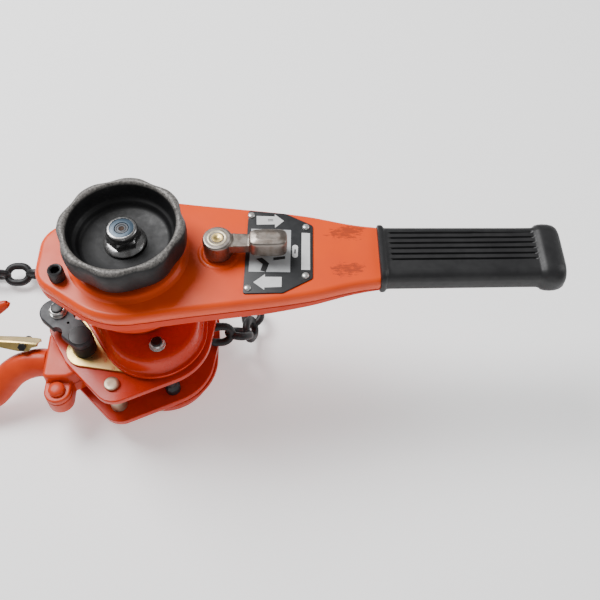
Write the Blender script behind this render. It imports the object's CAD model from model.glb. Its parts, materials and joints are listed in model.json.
"""Lever chain hoist lying on its gear cover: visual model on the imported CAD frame.

Sizes are in millimetres in the row frame (origin on the main shaft at the gear cover's
face, +Z along the shaft to the handwheel, +X along the lever to the grip).
"""
import json
from math import cos, hypot, pi, radians, sin

import bmesh
import bpy
from mathutils import Matrix, Vector

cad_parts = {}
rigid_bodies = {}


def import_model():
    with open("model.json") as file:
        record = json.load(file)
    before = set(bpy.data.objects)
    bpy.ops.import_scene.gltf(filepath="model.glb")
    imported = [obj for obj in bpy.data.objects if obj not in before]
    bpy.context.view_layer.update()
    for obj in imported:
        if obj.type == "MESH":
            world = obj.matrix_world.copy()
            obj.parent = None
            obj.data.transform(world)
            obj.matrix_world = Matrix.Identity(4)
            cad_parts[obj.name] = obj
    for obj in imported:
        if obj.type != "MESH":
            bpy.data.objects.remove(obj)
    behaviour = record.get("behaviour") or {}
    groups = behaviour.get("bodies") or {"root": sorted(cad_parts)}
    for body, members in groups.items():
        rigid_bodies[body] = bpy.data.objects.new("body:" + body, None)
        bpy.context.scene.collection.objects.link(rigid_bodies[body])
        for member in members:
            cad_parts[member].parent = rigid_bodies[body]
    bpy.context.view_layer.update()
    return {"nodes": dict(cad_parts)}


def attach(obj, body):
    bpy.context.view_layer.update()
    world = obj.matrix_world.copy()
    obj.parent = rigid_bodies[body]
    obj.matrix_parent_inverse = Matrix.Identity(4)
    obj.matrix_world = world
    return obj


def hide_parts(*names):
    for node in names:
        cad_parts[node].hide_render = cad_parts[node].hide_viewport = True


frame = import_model()

MM = 0.001

# Heights and places that the CAD uses
SEAM_Z = 131.0
FLOOR_Z = 122.0
CASING_TOP = 140.0
WHEEL_RIM_Z = 172.4
SELECTOR = (62.7, 1.0)
CAP_SCREW = (-45.6, -19.8)
RIVETS = {"a": (83.1, -30.0), "b": (84.6, 33.5), "c": (122.4, -20.2), "d": (123.4, 22.4)}
HOOK_PIN = (-42.3, -28.4)
LOCK_STUD = (-61.3, -7.1)
STAYS = {"near": (-19.0, -58.5), "far": (-29.0, 51.5)}
COVER_STUDS = {"near": (15.1, -37.0), "far": (15.1, 37.0), "side": (38.5, 0.0)}
CHAIN_Z = 41.5
YOKE_FACE = HOOK_PIN[0] - 31.5
YOKE_GAP = 0.15
COIL = (-311.0, -36.0)
COIL_R = 115.0
BOTTOM_YOKE = (-347.0, 5.5)
BOTTOM_HOOK_Z = 13.3

PLATE = [(11, -17, 41), (14, 3, 41), (10, 17, 41), (-17, -56.5, 16), (-43.4, -29.7, 15.5),
         (-60.7, -7.2, 12), (-27, 50, 14.5), (-52, 10, 12)]
COVER_FLANGE = [(9.5, -16, 39.5), (9.5, 16, 39.5), (-36, 0, 10)]
COVER_TOP = [(9, -15.8, 35), (9, 15.8, 35), (-34, 0, 7)]
BRAKE_PLATE = [(-41.9, -29.7, 14), (9.5, -16, 36), (9.5, 16, 36), (-36, 0, 9)]
GEAR_COVER = [(11, -15.3, 36.5), (11, 15.3, 36.5), (-25, 0, 24)]
HEAD = [(0, 0, 53), (-42, -9, 21.5), (-42, 9, 21.5)]
LOCK_BAR = [(-64.7, -6, 11), (-42.3, -28.4, 8.9)]


# ---------------------------------------------------------------- materials

class Nodes:
    """Small helper round a material's node tree."""

    def __init__(self, name):
        self.mat = bpy.data.materials.new(name)
        self.mat.use_nodes = True
        self.tree = self.mat.node_tree
        self.shader = self.tree.nodes["Principled BSDF"]
        self.coord = self.add("ShaderNodeTexCoord").outputs["Object"]

    def add(self, kind, **values):
        node = self.tree.nodes.new(kind)
        for key, value in values.items():
            setattr(node, key, value)
        return node

    def link(self, source, target):
        self.tree.links.new(source, target)

    def noise(self, scale, detail=4.0, rough=0.55, stretch=None):
        node = self.add("ShaderNodeTexNoise")
        node.inputs["Scale"].default_value = scale
        node.inputs["Detail"].default_value = detail
        node.inputs["Roughness"].default_value = rough
        source = self.coord
        if stretch:
            mapping = self.add("ShaderNodeMapping")
            mapping.inputs["Scale"].default_value = stretch
            self.link(self.coord, mapping.inputs["Vector"])
            source = mapping.outputs["Vector"]
        self.link(source, node.inputs["Vector"])
        return node.outputs["Fac"]

    def ramp(self, source, low, high, a=0.0, b=1.0):
        """Map low..high to a..b, clamped."""
        node = self.add("ShaderNodeMapRange")
        for key, value in (("From Min", low), ("From Max", high), ("To Min", a), ("To Max", b)):
            node.inputs[key].default_value = value
        self.link(source, node.inputs["Value"])
        return node.outputs["Result"]

    def math(self, operation, a, b):
        node = self.add("ShaderNodeMath", operation=operation)
        for index, value in enumerate((a, b)):
            if isinstance(value, (int, float)):
                node.inputs[index].default_value = value
            else:
                self.link(value, node.inputs[index])
        return node.outputs[0]

    def mix(self, factor, a, b):
        """Mix two colours, each a triple or a socket."""
        node = self.add("ShaderNodeMix", data_type="RGBA")
        self.link(factor, node.inputs["Factor"])
        for socket, value in ((node.inputs[6], a), (node.inputs[7], b)):
            if isinstance(value, tuple):
                socket.default_value = (*value, 1)
            else:
                self.link(value, socket)
        return node.outputs[2]

    def edges(self, radius, low=0.02, high=0.16):
        """Mask of convex and concave edges, from how far a bevelled normal turns."""
        bevel = self.add("ShaderNodeBevel", samples=6)
        bevel.inputs["Radius"].default_value = radius * MM
        geometry = self.add("ShaderNodeNewGeometry")
        dot = self.add("ShaderNodeVectorMath", operation="DOT_PRODUCT")
        self.link(bevel.outputs["Normal"], dot.inputs[0])
        self.link(geometry.outputs["Normal"], dot.inputs[1])
        return self.ramp(self.math("SUBTRACT", 1.0, dot.outputs["Value"]), low, high)

    def height(self):
        """Z in the row frame, in millimetres."""
        split = self.add("ShaderNodeSeparateXYZ")
        self.link(self.coord, split.inputs[0])
        return self.math("MULTIPLY", split.outputs["Z"], 1000.0)

    def bump(self, source, depth, distance, before=None):
        """Normal disturbed by a height, on top of the normal given in before."""
        node = self.add("ShaderNodeBump")
        node.inputs["Strength"].default_value = depth
        node.inputs["Distance"].default_value = distance
        self.link(source, node.inputs["Height"])
        if before:
            self.link(before, node.inputs["Normal"])
        return node.outputs["Normal"]

    def done(self, colour, rough, metallic, normal):
        """Feed the shader, where metallic may be a number, and return the material."""
        for key, socket in (("Base Color", colour), ("Roughness", rough), ("Normal", normal)):
            self.link(socket, self.shader.inputs[key])
        if isinstance(metallic, (int, float)):
            self.shader.inputs["Metallic"].default_value = metallic
        else:
            self.link(metallic, self.shader.inputs["Metallic"])
        return self.mat


def set_coat(mat, weight, rough, specular):
    """Give an enamel its clear top layer."""
    shader = mat.node_tree.nodes["Principled BSDF"]
    shader.inputs["Coat Weight"].default_value = weight
    shader.inputs["Coat Roughness"].default_value = rough
    shader.inputs["Specular IOR Level"].default_value = specular
    return mat


def paint(name, colour, deep, rough, grain, chips, coat):
    """Enamel over pressed or forged steel: slight colour drift, texture, and chips on edges."""
    n = Nodes(name)
    drift = n.noise(38, 3)
    base = n.mix(n.ramp(drift, 0.3, 0.7), colour, deep)
    fine = n.noise(420, 5)
    mask = n.edges(0.7)
    broken = n.ramp(n.noise(260, 6, 0.7), 0.60, 0.70)
    chip = n.math("MULTIPLY", n.math("MULTIPLY", mask, broken), chips)
    base = n.mix(chip, base, (0.10, 0.075, 0.06))
    roughness = n.ramp(n.noise(70, 4), 0.25, 0.75, rough - 0.05, rough + 0.08)
    normal = n.bump(fine, grain, 0.0003)
    normal = n.bump(drift, grain * 0.8, 0.0012, normal)
    return set_coat(n.done(base, roughness, 0.0, normal), coat, 0.18, 0.2)


def casing_paint():
    """Casing enamel with the scuffs that the two sides of the neck have."""
    n = Nodes("casing_paint")
    drift = n.noise(30, 3)
    base = n.mix(n.ramp(drift, 0.3, 0.7), (0.86, 0.080, 0.006), (0.76, 0.061, 0.005))
    split = n.add("ShaderNodeSeparateXYZ")
    n.link(n.coord, split.inputs[0])

    def patch(cx, cy, rx, ry):
        dx = n.math("DIVIDE", n.math("SUBTRACT", split.outputs["X"], cx * MM), rx * MM)
        dy = n.math("DIVIDE", n.math("SUBTRACT", split.outputs["Y"], cy * MM), ry * MM)
        far = n.math("ADD", n.math("MULTIPLY", dx, dx), n.math("MULTIPLY", dy, dy))
        return n.ramp(far, 0.0, 1.0, 1.0, 0.0)

    place = n.math("MAXIMUM", patch(152, 18.5, 19, 10), patch(152, -14, 18, 8.5))
    streaks = n.noise(360, 8, 0.8, stretch=(0.30, 1.5, 1.0))
    blots = n.noise(120, 6, 0.7)
    broken = n.math("MULTIPLY", streaks, n.ramp(blots, 0.3, 0.7, 0.6, 1.1))
    worn = n.ramp(n.math("ADD", n.math("MULTIPLY", place, 0.30), broken), 0.60, 0.70)
    worn = n.math("MULTIPLY", worn, n.ramp(place, 0.02, 0.25))
    base = n.mix(n.math("MULTIPLY", worn, 0.62), base, (0.16, 0.035, 0.02))
    chip = n.math("MULTIPLY", n.edges(0.7), n.ramp(n.noise(240, 6, 0.7), 0.62, 0.70))
    base = n.mix(n.math("MULTIPLY", chip, 0.5), base, (0.12, 0.06, 0.045))
    roughness = n.ramp(n.noise(60, 4), 0.25, 0.75, 0.30, 0.42)
    normal = n.bump(n.noise(420, 4), 0.05, 0.0003)
    normal = n.bump(n.noise(55, 2), 0.10, 0.0012, normal)
    return set_coat(n.done(base, roughness, 0.0, normal), 0.06, 0.25, 0.28)


def worn_black(name, rough, metallic, wear, colour, rim=None):
    """Blackened steel, rubbed to grey on its edges, and over a whole rim above a height."""
    n = Nodes(name)
    cloud = n.noise(90, 5, 0.6)
    base = n.mix(n.ramp(cloud, 0.3, 0.7), colour, tuple(1.7 * c for c in colour))
    rub = n.math("MULTIPLY", n.edges(1.2), n.ramp(n.noise(330, 7, 0.75), 0.36, 0.62))
    if rim:
        band = n.ramp(n.height(), rim - 1.6, rim, 0.0, 1.0)
        patchy = n.ramp(n.noise(520, 8, 0.8), 0.38, 0.60, 0.15, 1.0)
        rub = n.math("MAXIMUM", rub, n.math("MULTIPLY", band, n.math("MULTIPLY", patchy, 0.95)))
    rub = n.math("MULTIPLY", rub, wear)
    base = n.mix(rub, base, (0.27, 0.255, 0.24))
    roughness = n.ramp(n.noise(160, 5), 0.3, 0.7, rough - 0.07, rough + 0.1)
    normal = n.bump(n.noise(520, 5), 0.12, 0.0003)
    normal = n.bump(n.noise(120, 3), 0.10, 0.0008, normal)
    mat = n.done(base, roughness, n.ramp(rub, 0, 1, metallic, 0.45), normal)
    mat.node_tree.nodes["Principled BSDF"].inputs["Specular IOR Level"].default_value = 0.3
    return mat


def metal(name, colour, dirt, rough, amount, scale=140, grain=0.06):
    """Bare or plated metal with a stained, slightly uneven surface."""
    n = Nodes(name)
    stain = n.ramp(n.noise(scale, 6, 0.65), 0.45, 0.68)
    base = n.mix(n.math("MULTIPLY", stain, amount), colour, dirt)
    roughness = n.ramp(n.noise(scale * 1.6, 5, 0.6), 0.3, 0.7, rough - 0.08, rough + 0.12)
    normal = n.bump(n.noise(scale * 3, 4, 0.6), grain, 0.0003)
    return n.done(base, roughness, n.ramp(stain, 0, 1, 1.0, 1.0 - 0.35 * amount), normal)


def zinc_gold():
    """Yellow passivated zinc: drifting from gold to a cooler green grey."""
    n = Nodes("yellow_zinc_finish")
    cloud = n.noise(26, 3, 0.6)
    base = n.mix(n.ramp(cloud, 0.35, 0.65), (0.62, 0.42, 0.13), (0.48, 0.38, 0.17))
    spots = n.ramp(n.noise(260, 6, 0.7), 0.58, 0.72)
    base = n.mix(n.math("MULTIPLY", spots, 0.4), base, (0.30, 0.22, 0.10))
    roughness = n.ramp(n.noise(180, 4), 0.3, 0.7, 0.26, 0.42)
    return n.done(base, roughness, 0.85, n.bump(n.noise(300, 4), 0.08, 0.0003))


def rubber():
    """Moulded grip: matt with a fine skin, a little dust on the ridges."""
    n = Nodes("grip_rubber")
    dust = n.noise(60, 5, 0.6)
    base = n.mix(n.ramp(dust, 0.35, 0.75), (0.010, 0.010, 0.011), (0.017, 0.017, 0.018))
    roughness = n.ramp(n.noise(220, 4), 0.3, 0.7, 0.40, 0.52)
    normal = n.bump(n.noise(1400, 3), 0.10, 0.0002)
    normal = n.bump(n.noise(60, 2), 0.10, 0.001, normal)
    mat = n.done(base, roughness, 0.0, normal)
    mat.node_tree.nodes["Principled BSDF"].inputs["Specular IOR Level"].default_value = 0.42
    return mat


def plain(name, colour, rough, metallic=0.0, grain=0.04, drift=0.88, scale=200):
    """Printed, moulded or machined surface with slight drift and texture."""
    n = Nodes(name)
    cloud = n.noise(scale, 4)
    base = n.mix(n.ramp(cloud, 0.3, 0.7), colour, tuple(drift * c for c in colour))
    roughness = n.ramp(n.noise(scale * 1.5, 4), 0.3, 0.7, rough - 0.05, rough + 0.06)
    return n.done(base, roughness, metallic, n.bump(n.noise(scale * 3, 3), grain, 0.0002))


def floor_white():
    """Back-lit white sweep, as a light table gives."""
    mat = plain("floor_white", (0.9, 0.9, 0.9), 0.7, 0.0, 0.0, 0.995, 4)
    shader = mat.node_tree.nodes["Principled BSDF"]
    shader.inputs["Emission Color"].default_value = (1, 1, 1, 1)
    shader.inputs["Emission Strength"].default_value = 0.5
    shader.inputs["Specular IOR Level"].default_value = 0.1
    return mat


M = {
    "casing": casing_paint(),
    "paint": paint("body_enamel", (0.60, 0.034, 0.006), (0.50, 0.024, 0.005),
                   rough=0.27, grain=0.05, chips=0.5, coat=0.12),
    "shell": paint("shell_enamel", (0.66, 0.045, 0.006), (0.56, 0.032, 0.005),
                   rough=0.46, grain=0.04, chips=0.3, coat=0.0),
    "forged": paint("forging_enamel", (0.66, 0.058, 0.012), (0.50, 0.036, 0.008),
                    rough=0.34, grain=0.32, chips=0.45, coat=0.06),
    "wheel": worn_black("handwheel_black", 0.5, 0.0, 0.9, (0.0045, 0.0045, 0.005), rim=WHEEL_RIM_Z),
    "black": worn_black("coated_black", 0.38, 0.05, 0.35, (0.010, 0.010, 0.011)),
    "bar": worn_black("lock_bar_black", 0.42, 0.0, 0.2, (0.020, 0.021, 0.024)),
    "chain": worn_black("chain_black", 0.42, 0.1, 0.30, (0.012, 0.012, 0.013)),
    "steel": metal("machined_steel", (0.56, 0.55, 0.53), (0.20, 0.17, 0.14), 0.30, 0.45),
    "dull": metal("dull_zinc", (0.46, 0.40, 0.29), (0.26, 0.20, 0.13), 0.40, 0.6),
    "nut": metal("nut_steel", (0.34, 0.34, 0.34), (0.07, 0.06, 0.055), 0.26, 0.8, 160),
    "selector": metal("selector_cast", (0.27, 0.24, 0.215), (0.13, 0.09, 0.065), 0.36, 0.75, 150, 0.22),
    "brass": metal("pin_brass", (0.72, 0.54, 0.22), (0.40, 0.28, 0.12), 0.32, 0.5, 300),
    "zinc": zinc_gold(),
    "rubber": rubber(),
    "label": plain("label_black", (0.020, 0.021, 0.023), 0.38, 0.1),
    "print": plain("label_print", (0.70, 0.70, 0.70), 0.42),
    "panel": plain("label_panel", (0.52, 0.53, 0.54), 0.36, 0.2),
    "ink": plain("label_ink", (0.012, 0.012, 0.013), 0.5),
    "blue": plain("washer_blue", (0.045, 0.075, 0.11), 0.34, 0.3),
    "rust": plain("centre_rust", (0.045, 0.022, 0.012), 0.7, 0.2),
    "nylon": plain("bright_zinc", (0.62, 0.62, 0.60), 0.28, 0.75),
    "dark_end": plain("shaft_face", (0.06, 0.065, 0.075), 0.42, 0.3),
    "lining": plain("lining", (0.24, 0.19, 0.15), 0.85, 0.0, 0.3),
    "floor": floor_white(),
}
SHARP_DEGREES = 38


# ---------------------------------------------------------------- mesh helpers

def finish_mesh(name, bm, mat, angle=SHARP_DEGREES):
    """Turn a millimetre mesh into an object in metres, smooth but for edges sharper than the angle."""
    bmesh.ops.remove_doubles(bm, verts=bm.verts, dist=1e-4)
    bmesh.ops.scale(bm, vec=(MM, MM, MM), verts=bm.verts)
    bmesh.ops.recalc_face_normals(bm, faces=bm.faces)
    mesh = bpy.data.meshes.new(name)
    bm.to_mesh(mesh)
    bm.free()
    mesh.shade_smooth()
    mesh.set_sharp_from_angle(angle=radians(angle))
    obj = bpy.data.objects.new(name, mesh)
    bpy.context.scene.collection.objects.link(obj)
    for m in (mat if isinstance(mat, (list, tuple)) else [mat]):
        obj.data.materials.append(M[m])
    return obj


def skin(bm, rings, closed=False, cap=True, mat=0):
    """Join equal rings of points with quads."""
    rows = [[bm.verts.new(p) for p in ring] for ring in rings]
    pairs = list(zip(rows, rows[1:])) + ([(rows[-1], rows[0])] if closed else [])
    count = len(rows[0])
    for low, high in pairs:
        for k in range(count):
            j = (k + 1) % count
            bm.faces.new((low[k], low[j], high[j], high[k])).material_index = mat
    if cap and not closed:
        bm.faces.new(rows[0][::-1]).material_index = mat
        bm.faces.new(rows[-1]).material_index = mat
    return bm


def hull(circles, grow=0.0, steps=120):
    """Convex outline round circles (x, y, radius), grown by an offset."""
    points = []
    for k in range(steps):
        nx, ny = cos(2 * pi * k / steps), sin(2 * pi * k / steps)
        x, y, r = max(circles, key=lambda c: c[0] * nx + c[1] * ny + c[2])
        points.append((x + (r + grow) * nx, y + (r + grow) * ny))
    return points


def fillet(radius, z, up=True, steps=5):
    """(inset, height) pairs of a quarter round that ends at height z."""
    out = []
    for k in range(steps + 1):
        a = (pi / 2) * k / steps
        inset, drop = radius * (1 - cos(a)), radius * (1 - sin(a))
        out.append((inset, z - drop) if up else (inset, z + drop))
    return out if up else out[::-1]


def slab(bm, outline, low, high, top=1.0, bottom=0.5, mat=0):
    """Plate with rounded edges; outline is a function of the offset."""
    profile = fillet(bottom, low, up=False) + fillet(top, high)
    rings = [[(x, y, z) for x, y in outline(-inset)] for inset, z in profile]
    return skin(bm, rings, mat=mat)


def revolve(bm, profile, at=(0, 0), steps=64, mat=0, cap=True):
    """Turn a (radius, z) profile about a vertical axis."""
    rings = [[(at[0] + r * cos(2 * pi * k / steps), at[1] + r * sin(2 * pi * k / steps), z)
              for k in range(steps)] for r, z in profile]
    return skin(bm, rings, cap=cap, mat=mat)


def six_sided(angle):
    """Radius of a hexagon with corners at radius 1, at an angle."""
    return cos(pi / 6) / cos((angle % (pi / 3)) - pi / 6)


def hexagon(bm, at, across, low, high, turn=0.0, mat=0, crown=0.5):
    """Hexagon nut or head with a chamfered crown."""
    corner = across / 2 / cos(pi / 6)
    steps = 36

    def ring(limit, z):
        out = []
        for k in range(steps):
            a = 2 * pi * k / steps
            r = min(across / 2 * six_sided(a) / cos(pi / 6), limit)
            out.append((at[0] + r * cos(a + turn), at[1] + r * sin(a + turn), z))
        return out

    return skin(bm, [ring(corner - crown, low), ring(corner, low + crown), ring(corner, high - crown),
                     ring(corner - crown * 1.6, high)], mat=mat)


def catmull(points, per=6):
    """Points on a Catmull-Rom curve through tuples of any length."""
    ends = [tuple(2 * a - b for a, b in zip(points[0], points[1]))] + list(points)
    ends.append(tuple(2 * a - b for a, b in zip(points[-1], points[-2])))
    out = []
    for k in range(1, len(ends) - 2):
        four = ends[k - 1:k + 3]
        for j in range(per):
            t = j / per
            out.append(tuple(0.5 * (2 * b + (c - a) * t + (2 * a - 5 * b + 4 * c - d) * t * t
                                    + (3 * b - a - 3 * c + d) * t ** 3) for a, b, c, d in zip(*four)))
    out.append(tuple(points[-1]))
    return out


def remesh(obj, voxel):
    """Blend overlapping solids into one cast or forged skin."""
    mod = obj.modifiers.new("blend", "REMESH")
    mod.mode = "VOXEL"
    mod.voxel_size = voxel * MM
    mod.use_smooth_shade = True
    soft = obj.modifiers.new("soften", "SMOOTH")
    soft.factor = 0.5
    soft.iterations = 4
    return obj


def subtract(obj, cutters):
    """Cut closed bmesh-made objects from obj and keep the result as its mesh."""
    for cutter in cutters:
        mod = obj.modifiers.new("cut", "BOOLEAN")
        mod.operation = "DIFFERENCE"
        mod.solver = "EXACT"
        mod.object = cutter
    graph = bpy.context.evaluated_depsgraph_get()
    graph.update()
    mesh = bpy.data.meshes.new_from_object(obj.evaluated_get(graph))
    obj.modifiers.clear()
    obj.data = mesh
    mesh.shade_smooth()
    mesh.set_sharp_from_angle(angle=radians(SHARP_DEGREES))
    for cutter in cutters:
        bpy.data.objects.remove(cutter, do_unlink=True)
    return obj


def piece(obj, body, *nodes, slot):
    """Place a finished piece on its body, standing for the CAD nodes named."""
    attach(obj, body)
    if nodes:
        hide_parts(*nodes)
    return obj


def turned(name, profile, at, steps, mat, body, *nodes, slot, angle=40):
    """Piece turned about one upright axis."""
    bm = revolve(bmesh.new(), profile, at=at, steps=steps)
    return piece(finish_mesh(name, bm, mat, angle), body, *nodes, slot=slot)


def bent(value, power):
    """Sine or cosine raised to a power with its sign kept: squares off a circle."""
    return abs(value) ** power * (1 if value > 0 else -1)


# ---------------------------------------------------------------- lever

ARM_HALF = [(14, 51.6), (30, 49.0), (46, 46.6), (64, 44.3), (82, 41.9), (102, 39.2), (118, 36.6), (130, 34.2),
            (141, 31.3), (152, 28.4), (163, 26.2), (173, 24.8), (177, 23.0), (181, 18.5), (200, 16.0),
            (240, 13.0), (250, 10.5)]


def casing_outline(grow=0.0):
    """Head and arm in plan: a round head, an arm that narrows in a slow S towards the grip."""
    edge = catmull(ARM_HALF, 3)
    upper = []
    for k, (x, y) in enumerate(edge):
        before, after = edge[max(k - 1, 0)], edge[min(k + 1, len(edge) - 1)]
        dx, dy = after[0] - before[0], after[1] - before[1]
        size = hypot(dx, dy)
        upper.append((x - grow * dy / size, y + grow * dx / size))
    head = hull(HEAD, grow, 144)[31:114]    # the part of the head between the arm's two edges
    lower = [(x, -y) for x, y in upper]
    return upper[::-1] + head + lower


def casing_shells():
    """Upper and lower pressed shells, with the seam between them."""
    bm = bmesh.new()
    side = [(0.9, SEAM_Z + 0.2), (0.35, SEAM_Z + 0.35), (0.0, SEAM_Z + 0.9)]
    profile = side + fillet(4.2, CASING_TOP, steps=7)
    rings = [[(x, y, z) for x, y in casing_outline(-inset)] for inset, z in profile]
    skin(bm, rings)
    revolve(bm, [(43.0, 139.6), (42.0, 140.15), (40.6, 140.5), (39.4, 141.2), (38.7, 142.2), (38.0, 142.8),
                 (36.9, 143.0), (33, 143.0), (30, 142.6), (29, 139.8)], steps=96)
    revolve(bm, [(15.5, 139.8), (14.8, 140.1), (13.8, 140.5), (13.0, 140.7), (12.2, 140.6), (11.4, 140.2),
                 (10.8, 139.8)], at=SELECTOR, steps=64)
    upper = finish_mesh("casing_upper", bm, "casing", 42)
    piece(upper, "lever", "lever_upper_shell", slot="orange_paint")

    bm = bmesh.new()
    profile = [(2.9, FLOOR_Z - 0.05), (1.6, FLOOR_Z + 0.35), (0.8, FLOOR_Z + 1.2), (0.55, FLOOR_Z + 2.6),
               (0.45, SEAM_Z - 1.2), (0.0, SEAM_Z - 0.7), (0.0, SEAM_Z - 0.1), (0.8, SEAM_Z + 0.1)]
    rings = []
    for inset, z in profile:
        ring = []
        share = max(0.0, (SEAM_Z - z) / (SEAM_Z - FLOOR_Z))
        for x, y in casing_outline(-inset):
            rise = min(max(0.0, x - 96) * 0.083, 6.2)
            ring.append((x, y, z + rise * share))
        rings.append(ring)
    skin(bm, rings)
    bowl = [(28, 81), (28, 97), (30.5, 98.6), (37.5, 99.2), (39.8, 100.6), (41, 104), (42.6, 108.5),
            (45.4, 114), (48.2, 119), (50.6, 122.4), (51.5, 123.4)]
    revolve(bm, [(27.2, 80.6)] + bowl, steps=96)
    lower = finish_mesh("casing_lower", bm, "shell", 42)
    piece(lower, "lever", "lever_lower_shell", slot="orange_paint")


def handwheel():
    """Lobed cup with scallops between the finger grips, and a stepped floor, and its nut.

    The profile holds (radius, z, how far the scallops reach in).
    """
    lobes, steps = 8, 240
    profile = [(30.5, 147.6, 0.0), (35.5, 148.1, 0.15), (38.9, 149.6, 0.4), (40.9, 152.2, 0.8),
               (42.0, 156.0, 1.0), (42.7, 161.0, 1.0), (43.0, 166.0, 1.0), (42.9, 169.6, 1.0),
               (42.2, 171.7, 0.85), (41.1, 172.9, 0.6), (39.6, 173.4, 0.35), (38.0, 173.2, 0.12),
               (36.8, 172.2, 0.0), (36.2, 170.4, 0.0), (35.6, 166.0, 0.0), (34.9, 161.2, 0.0),
               (34.1, 159.9, 0.0), (32.8, 159.3, 0.0), (32.0, 158.4, 0.0), (31.5, 156.2, 0.0),
               (30.3, 154.9, 0.0), (28.6, 154.2, 0.0), (20, 153.7, 0.0), (11, 153.5, 0.0), (6.4, 153.5, 0.0)]
    bm = bmesh.new()
    rings = []
    for r, z, share in profile:
        ring = []
        for k in range(steps):
            a = 2 * pi * k / steps
            wave = 0.5 + 0.5 * cos(lobes * (a + radians(5)))    # 1 on a lobe, 0 between two
            cut = -2.1 * (1 - wave) ** 1.6 + 0.3 * wave
            on_rim = z > 171.0 and r > 37
            drop = -0.9 * (1 - wave) ** 2 if on_rim else 0.0
            rr = r + share * cut
            ring.append((rr * cos(a), rr * sin(a), z + drop * share))
        rings.append(ring)
    skin(bm, rings)
    wheel = finish_mesh("wheel", bm, "wheel", 40)
    piece(wheel, "drive", "handwheel", slot="black_finish")

    bm = bmesh.new()
    revolve(bm, [(13.7, 153.6), (14.6, 154.2), (14.6, 155.3), (13.8, 156.2), (12.0, 156.9), (11.2, 157.4)],
            steps=64)
    hexagon(bm, (0, 0), 20.4, 155.6, 163.0, turn=0.3, crown=1.0)
    revolve(bm, [(8.8, 161.8), (9.8, 163.0), (10.5, 164.0), (10.7, 167.2), (10.4, 168.3), (9.6, 169.0),
                 (8.4, 169.1), (8.1, 168.5), (8.0, 166.4)], steps=64)
    piece(finish_mesh("wheel_nut", bm, "nut", 40), "drive", "shaft_nut", slot="steel")
    turned("nut_insert", [(8.2, 167.4), (8.2, 168.6), (7.7, 168.8), (5.0, 168.8), (4.8, 168.4), (4.8, 167.4)],
           (0, 0), 48, "blue", "drive", slot="steel")
    turned("shaft_end", [(4.7, 167.4), (4.7, 168.2), (4.3, 168.6), (3.4, 168.6), (3.1, 168.3), (2.7, 168.5),
                         (2.0, 168.4), (1.3, 167.0), (0.4, 166.8)],
           (0, 0), 40, "dark_end", "drive", slot="steel")
    turned("shaft_centre", [(1.9, 166.9), (1.8, 168.45), (1.2, 168.2), (0.3, 167.9)],
           (0, 0), 24, "rust", "drive", slot="steel")


def cap_screw():
    """Socket head screw standing on the head of the casing."""
    x, y = CAP_SCREW
    ribs = 36
    bm = bmesh.new()
    revolve(bm, [(2.9, 137), (2.9, 140.4), (4.9, 140.4), (5.3, 140.8), (5.3, 149.2), (5.0, 149.9),
                 (4.4, 150.2), (3.75, 150.1)], at=CAP_SCREW, steps=48, cap=False)
    steps = 48
    rings = []
    for r, z, flat in ((3.75, 150.1, 0.0), (3.3, 149.5, 1.0), (3.25, 144.6, 1.0), (0.4, 144.2, 0.0)):
        ring = []
        for k in range(steps):
            a = 2 * pi * k / steps
            rr = r * ((1 - flat) + flat * six_sided(a))
            ring.append((x + rr * cos(a), y + rr * sin(a), z))
        rings.append(ring)
    skin(bm, rings, cap=False)
    for k in range(ribs):
        a = 2 * pi * k / ribs
        c, s = cos(a), sin(a)
        rib = [(x + (r * c - w * s), y + (r * s + w * c))
               for r, w in ((5.15, -0.22), (5.5, -0.1), (5.5, 0.1), (5.15, 0.22))]
        skin(bm, [[(px, py, z) for px, py in rib] for z in (141.6, 148.6)])
    piece(finish_mesh("casing_cap_screw", bm, "black", 34), "lever", "cap_screw", slot="black_finish")


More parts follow.
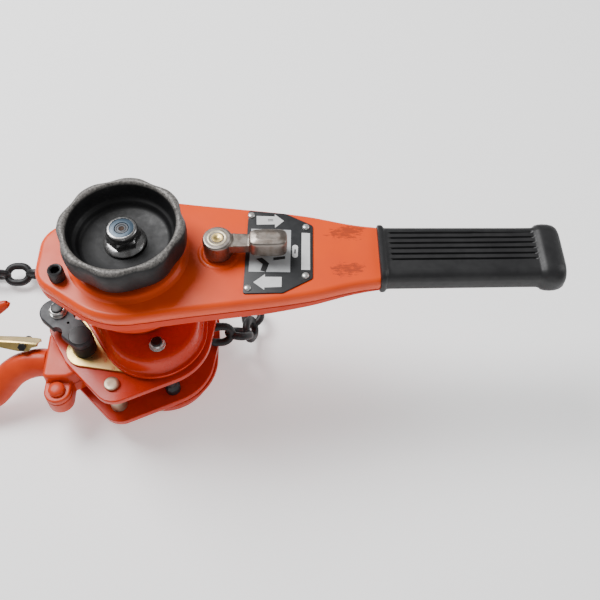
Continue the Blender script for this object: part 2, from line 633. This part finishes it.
def grip():
    """Moulded grip: a beaded collar, grooves along its top, and a thick end flange."""
    grooves = (15.2, 10.6, 6.0, 1.4, -3.4, -8.0)

    def section(x, half_y, low, high, radius, rib):
        """Rounded rectangle with grooves sunk in the top face by rib."""
        out = []
        top = [half_y - radius - 2 * (half_y - radius) * k / 150 for k in range(151)]
        for y in top:
            sink = 0.0
            for g in grooves:
                sink = max(sink, 1.0 - ((y - g) / 0.85) ** 4)
            crown = 0.5 * (1 - (y / half_y) ** 2)
            out.append((x, y, high + crown - rib * max(0.0, sink) ** 0.7))
        corners = ((-half_y + radius, high - radius, pi / 2), (-half_y + radius, low + radius, pi),
                   (half_y - radius, low + radius, 3 * pi / 2), (half_y - radius, high - radius, 0.0))
        for index, (y, z, start) in enumerate(corners):
            for k in range(1, 10):
                a = start + (pi / 2) * k / 10
                out.append((x, y + radius * cos(a), z + radius * sin(a)))
        return out

    bm = bmesh.new()
    stations = [(173.6, 23.0, 125.4, 142.0, 6, 0), (173.7, 24.6, 124.2, 143.2, 7, 0),
                (174.4, 25.4, 123.5, 143.9, 7, 0), (176.2, 25.5, 123.4, 144.0, 7, 0),
                (177.6, 25.1, 123.7, 143.7, 7, 0), (178.4, 24.0, 124.4, 143.0, 7, 0),
                (179.2, 23.9, 124.9, 142.6, 7, 0), (181.0, 23.8, 125.0, 142.6, 7, 0),
                (182.0, 23.8, 125.0, 142.6, 7, 0.8), (183.0, 23.8, 125.0, 142.6, 7, 1.6),
                (200, 23.6, 124.9, 142.6, 7, 1.6), (240, 23.2, 124.7, 142.7, 7, 1.6),
                (268, 22.9, 124.6, 142.8, 7, 1.6), (281.5, 22.8, 124.5, 142.9, 7, 1.5),
                (283, 22.8, 124.4, 142.9, 7, 0.7), (283.8, 22.9, 124.2, 143.0, 7, 0),
                (284.8, 23.5, 123.6, 143.6, 8, 0), (286.2, 24.5, 122.7, 144.7, 8.6, 0),
                (288.4, 25.2, 122.1, 145.3, 9.5, 0), (291.5, 25.7, 121.9, 145.4, 10, 0),
                (295.0, 25.5, 122.0, 145.3, 10, 0), (298.2, 24.8, 122.6, 144.8, 9.8, 0),
                (300.4, 23.4, 123.8, 143.6, 9, 0), (301.6, 21.4, 125.4, 142.0, 7.6, 0),
                (302.0, 19.0, 127.2, 140.2, 6, 0)]
    skin(bm, [section(*s) for s in stations])
    piece(finish_mesh("moulded_grip", bm, "rubber", 40), "lever", "grip", slot="moulded_grip")


def polygon_plate(bm, outline, low, high, mat):
    """Flat printed shape with upright sides."""
    return skin(bm, [[(x, y, low) for x, y in outline], [(x, y, high) for x, y in outline]], mat=mat)


def label():
    """Direction plate: plain arrows and panels with marks that mean nothing, and its four rivets."""
    corners = [(81.9, -32.6, 1.8), (84.3, 36.4, 1.8), (108.5, 32.2, 3), (106.0, -31.0, 3), (125.8, 22.6, 2.6),
               (124.8, -20.6, 2.6)]
    bm = bmesh.new()
    slab(bm, lambda g: hull(corners, g), 140.0, 141.0, 0.25, 0.1)
    piece(finish_mesh("plate_black", bm, "label", 40), "lever", "direction_plate", slot="label_plate")
    bm = bmesh.new()
    low, high = 140.9, 141.05
    ink = (high - 0.05, high + 0.05, 2)
    arrow = [(88.6, 25.2), (101.6, 25.4), (101.6, 22.2), (107.8, 28.4), (101.4, 34.6), (101.4, 32.6),
             (88.4, 33.2)]
    polygon_plate(bm, arrow, low, high, 0)
    back = [(106.0, -29.2), (94.4, -29.6), (94.4, -31.6), (87.0, -25.2), (94.8, -18.6), (94.8, -20.8),
            (106.2, -21.0)]
    polygon_plate(bm, back, low, high, 0)
    polygon_plate(bm, hull([(115.6, 4.6, 2.0), (115.5, -2.6, 2.0)], 0, 32), low, high, 0)
    polygon_plate(bm, [(119.6, -15.0), (125.6, -15.2), (126.2, 17.0), (120.4, 17.4)], low, high, 0)
    polygon_plate(bm, [(83.6, -16.2), (112.0, -17.0), (112.9, 20.0), (84.8, 21.4)], low, high, 1)
    for bar in ([(88.6, -5.4), (92.6, -4.4), (97.6, -9.4), (95.4, -16.6), (91.6, -15.6), (93.2, -9.8)],
                [(100.6, -6.8), (108.6, -5.6), (108.6, -3.2), (100.4, -4.4)]):
        polygon_plate(bm, bar, *ink)
    polygon_plate(bm, hull([(115.6, 2.4, 0.5), (115.5, -0.6, 0.5)], 0, 16), *ink)
    for y in (28.6, 29.9):
        polygon_plate(bm, [(96.5, y - 0.3), (100.2, y - 0.3), (100.2, y + 0.3), (96.5, y + 0.3)], *ink)
    piece(finish_mesh("plate_print", bm, ["print", "panel", "ink"], 40), "lever", slot="label_plate")
    for key, at in RIVETS.items():
        turned("rivet_" + key,
               [(2.5, 140.9), (2.6, 141.2), (2.4, 141.8), (1.9, 142.2), (1.2, 142.45), (0.4, 142.5)],
               at, 32, "nylon", "lever", "plate_rivet_" + key, slot="steel")


def selector():
    """Cast changeover lever: hub, arm and thumb knob blended into one skin, with its brass pin."""
    x, y = SELECTOR
    bm = bmesh.new()
    revolve(bm, [(9.0, 140.7), (9.9, 141.3), (10.2, 142.6), (10.3, 154.9), (10.0, 156.0), (9.2, 156.5),
                 (7.2, 156.5)], at=SELECTOR, steps=72)
    arm = [(x + 3, y - 6.6), (x + 26, y - 6.0), (x + 26, y + 4.4), (x + 3, y + 5.6)]
    slab(bm, lambda g: [(px, py) for px, py in arm], 147.6, 154.9, 0.8, 0.8)
    rings = []
    cx, cy = x + 34.6, y - 1.9
    for k in range(17):
        t = k / 16
        z = 147.0 + 13.6 * t
        swell = (1 - abs(2 * t - 1) ** 8) ** 0.4
        half_x, half_y = 8.3 + 4.6 * swell, (3.6 + 4.9 * swell) * (1.0 - 0.16 * t)
        ring = []
        for j in range(48):
            a = 2 * pi * j / 48
            c, s = cos(a), sin(a)
            ring.append((cx + half_x * bent(c, 0.45), cy + half_y * bent(s, 0.5), z))
        rings.append(ring)
    skin(bm, rings)
    body = finish_mesh("changeover_lever", bm, "selector", 50)
    piece(remesh(body, 0.36), "selector", "selector_lever", slot="brown_steel")
    turned("changeover_boss",
           [(6.9, 156.0), (6.8, 156.6), (6.3, 156.75), (5.2, 156.6), (4.3, 156.3), (4.2, 155.6)],
           SELECTOR, 48, "dull", "selector", slot="brown_steel")
    turned("changeover_pin",
           [(4.1, 154.6), (4.1, 156.7), (3.8, 157.0), (1.6, 157.05), (1.1, 156.7), (0.4, 156.6)],
           SELECTOR, 40, "brass", "selector", "selector_pin", slot="brass")


# ---------------------------------------------------------------- frame

def frame_plate(name, circles, low, high, mat, node, top, bottom, slot):
    """Flat plate of the frame, outlined by circles, with rounded edges."""
    bm = bmesh.new()
    slab(bm, lambda g: hull(circles, g), low, high, top, bottom)
    piece(finish_mesh(name, bm, mat, 40), "frame", node, slot=slot)


def plates():
    """Side plates, base plate, brake cover and gear cover with rounded edges."""
    frame_plate("plate_gear", PLATE, 22.3, 28.0, "paint", "side_plate_gear", 0.9, 0.9, "orange_paint")
    frame_plate("plate_brake", PLATE, 55.0, 60.0, "paint", "side_plate_brake", 0.9, 0.9, "orange_paint")
    frame_plate("plate_base", BRAKE_PLATE, 60.3, 62.3, "zinc", "brake_plate", 0.5, 0.3, "yellow_zinc")

    bm = bmesh.new()
    slab(bm, lambda g: hull(COVER_FLANGE, g), 62.6, 65.1, 0.7, 0.4)
    wall = [(2.9, 64.9), (2.2, 65.4), (1.5, 66.6), (1.0, 68.2), (0.6, 71.0), (0.2, 74.4), (-0.1, 76.2),
            (-0.7, 77.6), (-1.6, 78.8), (-2.8, 79.6), (-4.2, 80.0)]
    skin(bm, [[(x, y, z) for x, y in hull(COVER_TOP, g)] for g, z in wall])
    revolve(bm, [(27.5, 79.7), (26.6, 80.2), (24.5, 80.4), (22.5, 80.2), (21.6, 79.7)], steps=72)
    piece(finish_mesh("cover_pressing", bm, "paint", 40), "frame", "brake_cover", slot="orange_paint")

    bm = bmesh.new()
    outer = fillet(4.5, 0.0, up=False, steps=6) + [(0.0, 17.0), (-0.5, 18.0), (-2.0, 18.8), (-6.0, 18.9),
                                                   (-6.5, 19.4), (-6.5, 21.2), (-6.0, 21.9)]
    skin(bm, [[(x, y, z) for x, y in hull(GEAR_COVER, -inset)] for inset, z in outer])
    piece(finish_mesh("gear_pressing", bm, "paint", 40), "frame", "gear_cover", slot="orange_paint")
    for side, at in (("near", (11, -55.4)), ("far", (11, 55.4)), ("end", (-52.6, 0))):
        bm = bmesh.new()
        hexagon(bm, at, 6.2, 16.6, 19.2, crown=0.4)
        revolve(bm, [(1.9, 19.0), (1.9, 22.0)], at=at, steps=20)
        piece(finish_mesh("gear_screw_" + side, bm, "dull", 34), "frame", "gear_cover_screw_" + side,
              slot="steel")


def stay(side, at):
    """Spacer bolt: riveted head on the brake side, sleeve between the plates, nut below."""
    bm = bmesh.new()
    revolve(bm, [(4.0, 59.5), (5.2, 60.2), (5.6, 60.7), (5.6, 62.2), (5.4, 62.6), (5.0, 62.8), (3.0, 62.85)],
            at=at, steps=48)
    revolve(bm, [(6.2, 28.1), (6.2, 54.9)], at=at, steps=40)
    revolve(bm, [(3.9, 16.6), (3.9, 28.2)], at=at, steps=32)
    hexagon(bm, at, 12.4, 17.2, 22.2, crown=0.7)
    piece(finish_mesh("stay_" + side, bm, "dull", 34), "frame", "stay_bolt_" + side, slot="steel")


def nut_on_stud(name, at, foot, node, across, nut_height, stud_top):
    """Flanged lock nut with a pale ring under a dark stud end."""
    bm = bmesh.new()
    revolve(bm, [(across * 0.56, foot), (across * 0.58, foot + 0.5), (across * 0.53, foot + 1.0)], at=at,
            steps=48, mat=1)
    hexagon(bm, at, across * 0.98, foot + 0.6, foot + nut_height, turn=0.2, mat=1, crown=0.9)
    s = across * 0.40
    revolve(bm, [(s, foot + 1.0), (s, stud_top - 0.9), (s - 0.5, stud_top - 0.2), (s - 1.3, stud_top)], at=at,
            steps=40, mat=0)
    piece(finish_mesh(name, bm, ["black", "nylon"], 34), "frame", node, slot="steel")


def keeper():
    """Black lock bar from the hook pin to its stud, with a small hole and a bay in each flank."""
    bm = bmesh.new()
    slab(bm, lambda g: hull(LOCK_BAR, g), 74.0, 80.0, 1.3, 0.6)
    obj = finish_mesh("lock_bar_plate", bm, "bar", 40)
    cutters = []
    for at, r, steps in (((-52.6, -17.0), 1.1, 20), ((-60.8, -25.8), 5.2, 48), ((-44.6, -9.0), 5.2, 48)):
        cut = bmesh.new()
        revolve(cut, [(r, 72), (r, 82)], at=at, steps=steps)
        cutters.append(finish_mesh("cut", cut, "bar"))
    subtract(obj, cutters)
    piece(obj, "frame", "lock_bar", slot="black_finish")
    bm = bmesh.new()
    revolve(bm, [(6.8, 22.6), (6.8, 62.7)], at=HOOK_PIN, steps=48)
    revolve(bm, [(8.9, 62.6), (9.0, 63.2), (9.0, 73.9)], at=HOOK_PIN, steps=56)
    revolve(bm, [(8.4, 79.6), (8.4, 80.5), (7.9, 81.1), (6.4, 81.3), (1.0, 81.35)], at=HOOK_PIN, steps=56)
    piece(finish_mesh("keeper_pin", bm, "black", 34), "frame", "hook_pin", slot="black_finish")
    turned("keeper_post", [(6.5, 60.3), (6.5, 73.9)], LOCK_STUD, 40, "black", "frame", slot="steel", angle=34)
    nut_on_stud("keeper_nut", LOCK_STUD, 80.0, "lock_stud", 11.5, 4.6, 86.4)
    for key, at in COVER_STUDS.items():
        nut_on_stud("cover_nut_" + key, at, 80.1, "cover_stud_" + key, 10.4, 4.2, 85.9)


# ---------------------------------------------------------------- hooks

def hook_place(origin, heading, roll):
    """Matrix from the hook's plane to the row frame: u along its shank, v across, w out of the plane."""
    u = Vector((cos(heading), sin(heading), 0))
    level = Vector((sin(heading), -cos(heading), 0))
    v = level * cos(roll) + Vector((0, 0, 1)) * sin(roll)
    place = Matrix((u, v, u.cross(v))).transposed().to_4x4()
    place.translation = Vector(origin)
    return place


def hook(name, place, body, node):
    """Forged swivel hook: necked shank, thick bowl, tapered tip."""
    path = [(0.2, 0, 10.0, 10.0), (1.2, 0, 10.6, 10.6), (9, 0, 10.7, 10.4), (20, -3, 11, 9.5),
            (29, -8.5, 11.2, 9)]
    for degrees, half_width in ((215, 11.3), (235, 11.5), (255, 11.8), (275, 12), (295, 12), (315, 11.6),
                                (335, 11), (355, 10.4), (15, 9.6), (35, 9), (55, 8.4), (75, 7.8)):
        a = radians(degrees)
        path.append((62 + 30 * cos(a), 30 * sin(a), half_width, half_width * 0.74))
    path += [(59, 33.5, 7.4, 5.8), (47, 38, 6.6, 5.4), (38, 42.6, 5.6, 4.9), (28, 47.2, 3.0, 3.0),
             (27, 47.8, 0.8, 0.8)]
    fine = catmull(path, 6)
    bm = bmesh.new()
    steps = 36
    rings = []
    for k, (u, v, half_width, half_thick) in enumerate(fine):
        before, after = fine[max(k - 1, 0)], fine[min(k + 1, len(fine) - 1)]
        along = Vector((after[0] - before[0], after[1] - before[1])).normalized()
        side = Vector((-along.y, along.x))
        ring = []
        for j in range(steps):
            t = 2 * pi * j / steps
            c, s = cos(t), sin(t)
            across, thick = half_width * bent(c, 0.9), half_thick * bent(s, 0.85)
            ring.append(place @ Vector((u + side.x * across, v + side.y * across, thick)))
        rings.append(ring)
    skin(bm, rings)
    shank = [[place @ Vector((u, r * cos(2 * pi * j / 40), r * sin(2 * pi * j / 40))) for j in range(40)]
             for u, r in ((-15.4, 10.6), (-14.8, 11.2), (-11.4, 11.2), (-11.2, 7.7), (0.4, 7.7))]
    skin(bm, shank)
    piece(finish_mesh(name, bm, "forged", 60), body, node, slot="orange_paint")


def latch(name, place, body, node, hook_body):
    """Folded spring latch: a channel with two cheeks round a black socket screw."""
    start, end = Vector((17.0, 15.5)), Vector((54.0, 19.5))
    along = (end - start).normalized()
    side = Vector((-along.y, along.x))
    bm = bmesh.new()

    def at(step, across, w):
        p = start + along * step + side * across
        return place @ Vector((p.x, p.y, w))

    reach = (end - start).length
    t = 0.9    # sheet thickness
    rings = []
    for step, half, low, high in ((-11.0, 5.6, 0.9, 2.9), (-10.4, 6.4, 0.6, 3.3), (-7.0, 6.8, -0.4, 3.4),
                                  (-4.5, 6.8, -3.4, 3.4), (3, 6.8, -4.2, 3.4), (9, 6.6, -3.6, 3.2),
                                  (18, 6.1, -2.6, 2.7), (30, 5.5, -2.2, 2.1), (reach, 4.2, -1.6, 1.4)):
        section = [(low, -half), (high - 0.8, -half), (high, -half + 0.8), (high, half - 0.8),
                   (high - 0.8, half), (low, half), (low, half - t), (high - 1.4, half - t),
                   (high - t, half - 1.6), (high - t, -half + 1.6), (high - 1.4, -half + t), (low, -half + t)]
        rings.append([at(step, s, w) for s, w in section])
    skin(bm, rings)
    piece(finish_mesh(name, bm, "zinc", 30), body, node, slot="yellow_zinc")

    def turned_w(profile, hexed):
        """Turned rings about the screw's axis; the rings in hexed are six-sided."""
        steps = 40
        rows = []
        for index, (r, w) in enumerate(profile):
            ring = []
            for k in range(steps):
                a = 2 * pi * k / steps
                rr = r * six_sided(a) if index in hexed else r
                p = Vector((start.x + rr * cos(a), start.y + rr * sin(a)))
                ring.append(place @ Vector((p.x, p.y, w)))
            rows.append(ring)
        return rows

    bm = bmesh.new()
    profile = [(1.9, -8.6), (1.9, 6.9), (3.1, 6.9), (3.4, 7.2), (3.4, 9.4), (3.1, 9.8), (2.1, 9.8),
               (1.75, 9.5), (1.75, 8.0), (0.4, 7.8)]
    skin(bm, turned_w(profile, (7, 8)))
    skin(bm, turned_w([(3.2, -9.2), (3.2, -7.0)], (0, 1)))
    piece(finish_mesh(name + "_screw", bm, "black", 34), hook_body, slot="black_finish")


def top_yoke():
    """Two forged halves round the hook's shank, bolted through their ears."""
    px, py = HOOK_PIN
    ears = {"near": (px - 20.5, py - 27), "far": (px - 20.5, py + 27)}
    block = [(YOKE_FACE + 4, py - 16, 4), (YOKE_FACE + 4, py + 16, 4), (px - 14, py - 15.5, 4.5),
             (px - 14, py + 15.5, 4.5), (px, py, 12)]
    ear = [(*ears["near"], 10), (*ears["far"], 10)]
    for name, low, high, ear_top, up, down, ear_up, ear_down in (
            ("lower", 28.5, CHAIN_Z - YOKE_GAP, CHAIN_Z - YOKE_GAP, 0.4, 2.6, 0.5, 1.2),
            ("upper", CHAIN_Z + YOKE_GAP, 54.5, 46.5, 2.6, 0.4, 1.2, 0.4)):
        bm = bmesh.new()
        slab(bm, lambda g: hull(block, g, 96), low, high, up, down)
        slab(bm, lambda g: hull(ear, g, 96), low, ear_top, ear_up, ear_down)
        obj = remesh(finish_mesh("yoke_" + name, bm, "forged", 50), 0.6)
        piece(obj, "top_yoke", "top_yoke_" + name, slot="orange_paint")
    for side, at in ears.items():
        bm = bmesh.new()
        revolve(bm, [(3.0, 29), (3.0, 46.9)], at=at, steps=24)
        revolve(bm, [(5.4, 46.2), (6.1, 46.7), (6.2, 48.3), (5.8, 49.4), (4.9, 50.1), (3.4, 50.6),
                     (1.2, 50.8)], at=at, steps=40)
        piece(finish_mesh("yoke_rivet_" + side, bm, "forged", 40), "top_yoke", "yoke_bolt_" + side,
              slot="orange_paint")


def bottom_yoke():
    """Forged block that joins the chain's end to the bottom hook."""
    x, y = BOTTOM_YOKE
    z = BOTTOM_HOOK_Z
    outline = [(x - 11, y - 22, 3), (x + 11, y - 22, 3), (x - 9, y - 4, 4), (x + 9, y - 4, 4)]
    bm = bmesh.new()
    slab(bm, lambda g: hull(outline, g, 96), 0.4, 2 * z - 0.4, 2.2, 2.2)
    piece(finish_mesh("load_yoke", bm, "forged", 45), "frame", "bottom_yoke", slot="orange_paint")


# ---------------------------------------------------------------- chain

WIRE = 3.15              # wire radius
PITCH = 19.0
LINK_HALF_WIDTH = 10.5
GROUND_Z = 10.6          # height of the chain's centre line when it lies down
INNER_R = 93.0           # radius to which the coil tightens before its end turns in
END_BEND_R = 36.0
CHAIN_RUN = [(47, -4, 41.2), (56, -3, 39.5), (65, 0, 35), (73, 6, 27), (79, 15, 18), (81, 27, 12.5),
             (79, 40, 10.8)]
CHAIN_RUN += [(x, y, GROUND_Z) for x, y in (
    (73, 53), (63, 64), (50, 73), (33, 78.5), (12, 80), (-10, 80), (-35, 80), (-60, 79.5), (-90, 79),
    (-120, 79), (-150, 79), (-190, 79), (-234, 79))]


def chain_path():
    """Free load chain: its run along the ground, one round coil, and its end at the bottom hook's yoke."""
    points = [Vector(p) for p in catmull(CHAIN_RUN, 4)]
    cx, cy = COIL
    bend_y = cy + INNER_R - END_BEND_R
    points.append(Vector(((points[-1].x + cx) / 2, cy + COIL_R, GROUND_Z)))
    for degrees in range(90, 451, 5):
        inward = min(1.0, max(0.0, (degrees - 365) / 57))    # the coil tightens after one full turn
        r = COIL_R - (COIL_R - INNER_R) * (3 * inward ** 2 - 2 * inward ** 3)
        a = radians(degrees)
        points.append(Vector((cx + r * cos(a), cy + r * sin(a), GROUND_Z)))
    for degrees in range(98, 181, 8):
        a = radians(degrees)
        points.append(Vector((cx + END_BEND_R * cos(a), bend_y + END_BEND_R * sin(a), GROUND_Z)))
    points.append(Vector((cx - END_BEND_R, bend_y, GROUND_Z)))
    for gap in (8, 0.6):
        points.append(Vector((BOTTOM_YOKE[0], BOTTOM_YOKE[1] + gap, GROUND_Z)))
    return points


def along_path(points):
    """Function giving the point at a distance along the path, and the path's length."""
    marks = [0.0]
    for a, b in zip(points, points[1:]):
        marks.append(marks[-1] + (b - a).length)

    def at(s):
        s = min(max(s, 0.0), marks[-1] - 1e-6)
        k = max(i for i in range(len(marks) - 1) if marks[i] <= s)
        span = points[k + 1] - points[k]
        return points[k] + span * ((s - marks[k]) / max(span.length, 1e-9))

    return at, marks[-1]


def link_mesh(bm, centre, along, across):
    """One welded link: a stadium of round wire in the plane of along and across."""
    ring, turn = 10, 14
    out = along.cross(across).normalized()
    r = LINK_HALF_WIDTH - WIRE
    straight = PITCH / 2 + WIRE - LINK_HALF_WIDTH
    centres = []
    for sign in (1, -1):
        for k in range(turn + 1):
            a = -pi / 2 + pi * k / turn
            centres.append((sign * (straight + r * cos(a)), sign * r * sin(a), sign * cos(a), sign * sin(a)))
    rings = []
    for u, v, nu, nv in centres:
        normal = along * nu + across * nv
        base = centre + along * u + across * v
        rings.append([base + normal * (WIRE * cos(2 * pi * j / ring)) + out * (WIRE * sin(2 * pi * j / ring))
                      for j in range(ring)])
    skin(bm, rings, closed=True)


def chain():
    """Lay the links along the path, each turned a quarter from the last, and make them one cord."""
    points = chain_path()
    at, total = along_path(points)
    count = int(total / PITCH)
    step = total / count
    bm = bmesh.new()
    tilt = radians(24)
    for k in range(count):
        along = (at((k + 1) * step) - at(k * step)).normalized()
        level = along.cross(Vector((0, 0, 1))).normalized()
        upright = level.cross(along).normalized()
        angle = tilt + (0.0 if k % 2 else pi / 2)
        across = level * cos(angle) + upright * sin(angle)
        link_mesh(bm, at((k + 0.5) * step), along, across)
    obj = finish_mesh("load_chain", bm, "chain", 80)
    piece(obj, "frame", "chain_run", "chain_coil", "chain_end", slot="chain_black")


# ---------------------------------------------------------------- carried-over nodes

def carried_over():
    """Procedural finishes for the CAD nodes that stay."""
    finishes = {
        "black": "guide_roller_near guide_roller_far",
        "steel": "chain_stripper sheave_bearing_gear sheave_bearing_brake load_sheave load_gear "
                 "intermediate_gear_near intermediate_gear_far drive_shaft brake_hub changeover_gear "
                 "ratchet_disc holding_pawl_near holding_pawl_far changeover_pawl",
        "lining": "friction_disc_inner friction_disc_outer"}
    for mat, names in finishes.items():
        for node in names.split():
            obj = frame["nodes"][node]
            for index in range(len(obj.material_slots)):
                obj.material_slots[index].material = M[mat]


# ---------------------------------------------------------------- stage, lights, camera

LIT_POINT = Vector((0.05, 0.0, 0.1))


def stage():
    """White floor under the part, and an even white world."""
    bm = bmesh.new()
    bmesh.ops.create_grid(bm, x_segments=2, y_segments=2, size=6000)
    floor = finish_mesh("floor", bm, "floor")
    floor.location.z = -0.0002    # just under the part, so that the two faces do not coincide
    world = bpy.data.worlds.new("studio")
    bpy.context.scene.world = world
    world.use_nodes = True
    back = world.node_tree.nodes["Background"]
    back.inputs["Color"].default_value = (1, 1, 1, 1)
    back.inputs["Strength"].default_value = 0.28


def area(name, place, size, power):
    """Rectangular soft light aimed at the body of the hoist."""
    light = bpy.data.lights.new(name, "AREA")
    light.shape = "RECTANGLE"
    light.size, light.size_y = size
    light.energy = power
    obj = bpy.data.objects.new(name, light)
    bpy.context.scene.collection.objects.link(obj)
    obj.location = place
    obj.rotation_euler = (LIT_POINT - Vector(place)).to_track_quat("-Z", "Y").to_euler()


def lights():
    """Key from the far left above, weak fills from the front and the right."""
    area("key", (-0.7, 0.6, 1.5), (0.9, 0.9), 48)
    area("front", (0.5, -1.6, 0.5), (0.9, 0.5), 3)
    area("right", (1.5, 0.3, 0.9), (0.8, 0.8), 7)


def camera():
    """The fitted view: from the front, looking steeply down."""
    data = bpy.data.cameras.new("camera")
    data.sensor_width = 36
    data.lens = 49.38054
    data.clip_start, data.clip_end = 0.01, 50
    obj = bpy.data.objects.new("camera", data)
    bpy.context.scene.collection.objects.link(obj)
    right = Vector((0.999866, -0.014590, 0.007414)).normalized()
    forward = Vector((0.014373, 0.566178, -0.824158)).normalized()
    up = right.cross(forward)
    rotation = Matrix((right, up, -forward)).transposed()
    obj.matrix_world = Matrix.Translation((0.110489, -0.350672, 0.593093)) @ rotation.to_4x4()
    bpy.context.scene.camera = obj


for leftover in list(bpy.data.objects):
    if leftover.name in ("Cube", "Light", "Camera") and leftover.name not in frame["nodes"]:
        bpy.data.objects.remove(leftover, do_unlink=True)
camera()
stage()
lights()
carried_over()
casing_shells()
handwheel()
cap_screw()
grip()
label()
selector()
plates()
for stay_side, stay_at in STAYS.items():
    stay(stay_side, stay_at)
keeper()
top_yoke()
top_place = hook_place((YOKE_FACE - 0.3, HOOK_PIN[1], CHAIN_Z), pi, radians(50))
hook("hang_hook", top_place, "top_hook", "top_hook")
latch("hang_latch", top_place, "top_latch", "top_latch", "top_hook")
load_place = hook_place((BOTTOM_YOKE[0], BOTTOM_YOKE[1] - 25.3, BOTTOM_HOOK_Z), -pi / 2, pi)
hook("load_hook", load_place, "bottom_hook", "bottom_hook")
latch("load_latch", load_place, "bottom_latch", "bottom_latch", "bottom_hook")
bottom_yoke()
chain()
